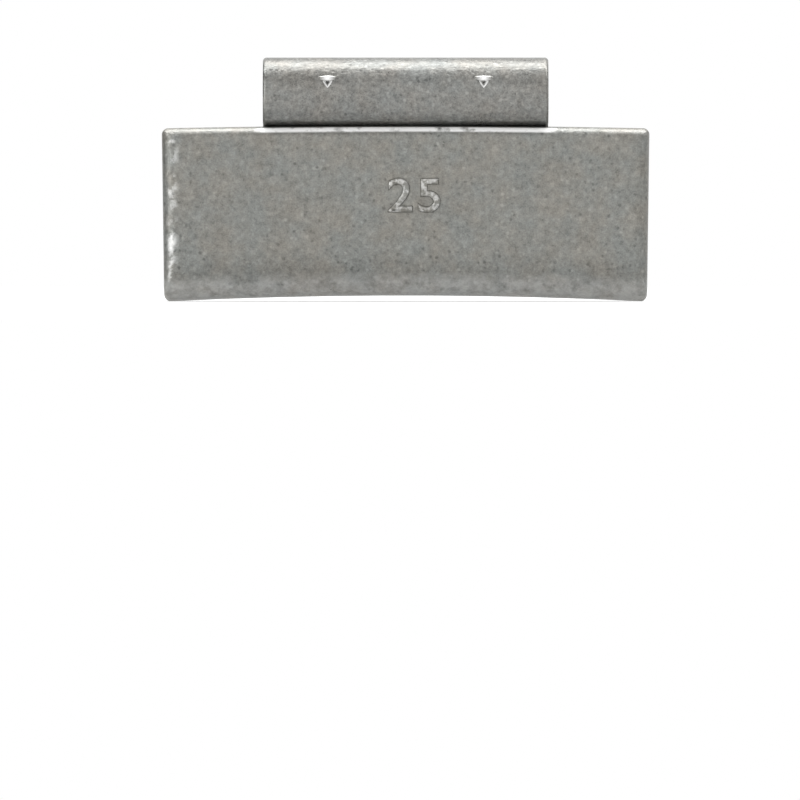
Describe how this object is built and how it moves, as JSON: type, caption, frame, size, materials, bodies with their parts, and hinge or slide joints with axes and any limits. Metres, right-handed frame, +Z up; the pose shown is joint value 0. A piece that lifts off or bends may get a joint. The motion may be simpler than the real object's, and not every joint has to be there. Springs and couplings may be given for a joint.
{
  "type": "wheel balance weight",
  "caption": "Clip-on wheel balance weight: an arched steel block with a bent spring steel clip staked to its back, which grips the edge of a wheel rim.",
  "frame": {"origin": "under the middle of the whole weight's box, at the height of the two ends of the block's arched underside", "axes": "+X along the block, +Y from the outer face towards the rim, +Z up, from the block to the clip"},
  "size_m": [0.0346, 0.0095, 0.0174],
  "materials": {
    "block_coating": "silver-grey metallic coating on steel, finely speckled, satin",
    "clip_coating": "silver-grey metallic coating on spring steel, finely speckled, satin"
  },
  "bodies": {
    "root": {"weight_body": "block_coating", "spring_clip": "clip_coating"}
  },
  "joints": []
}
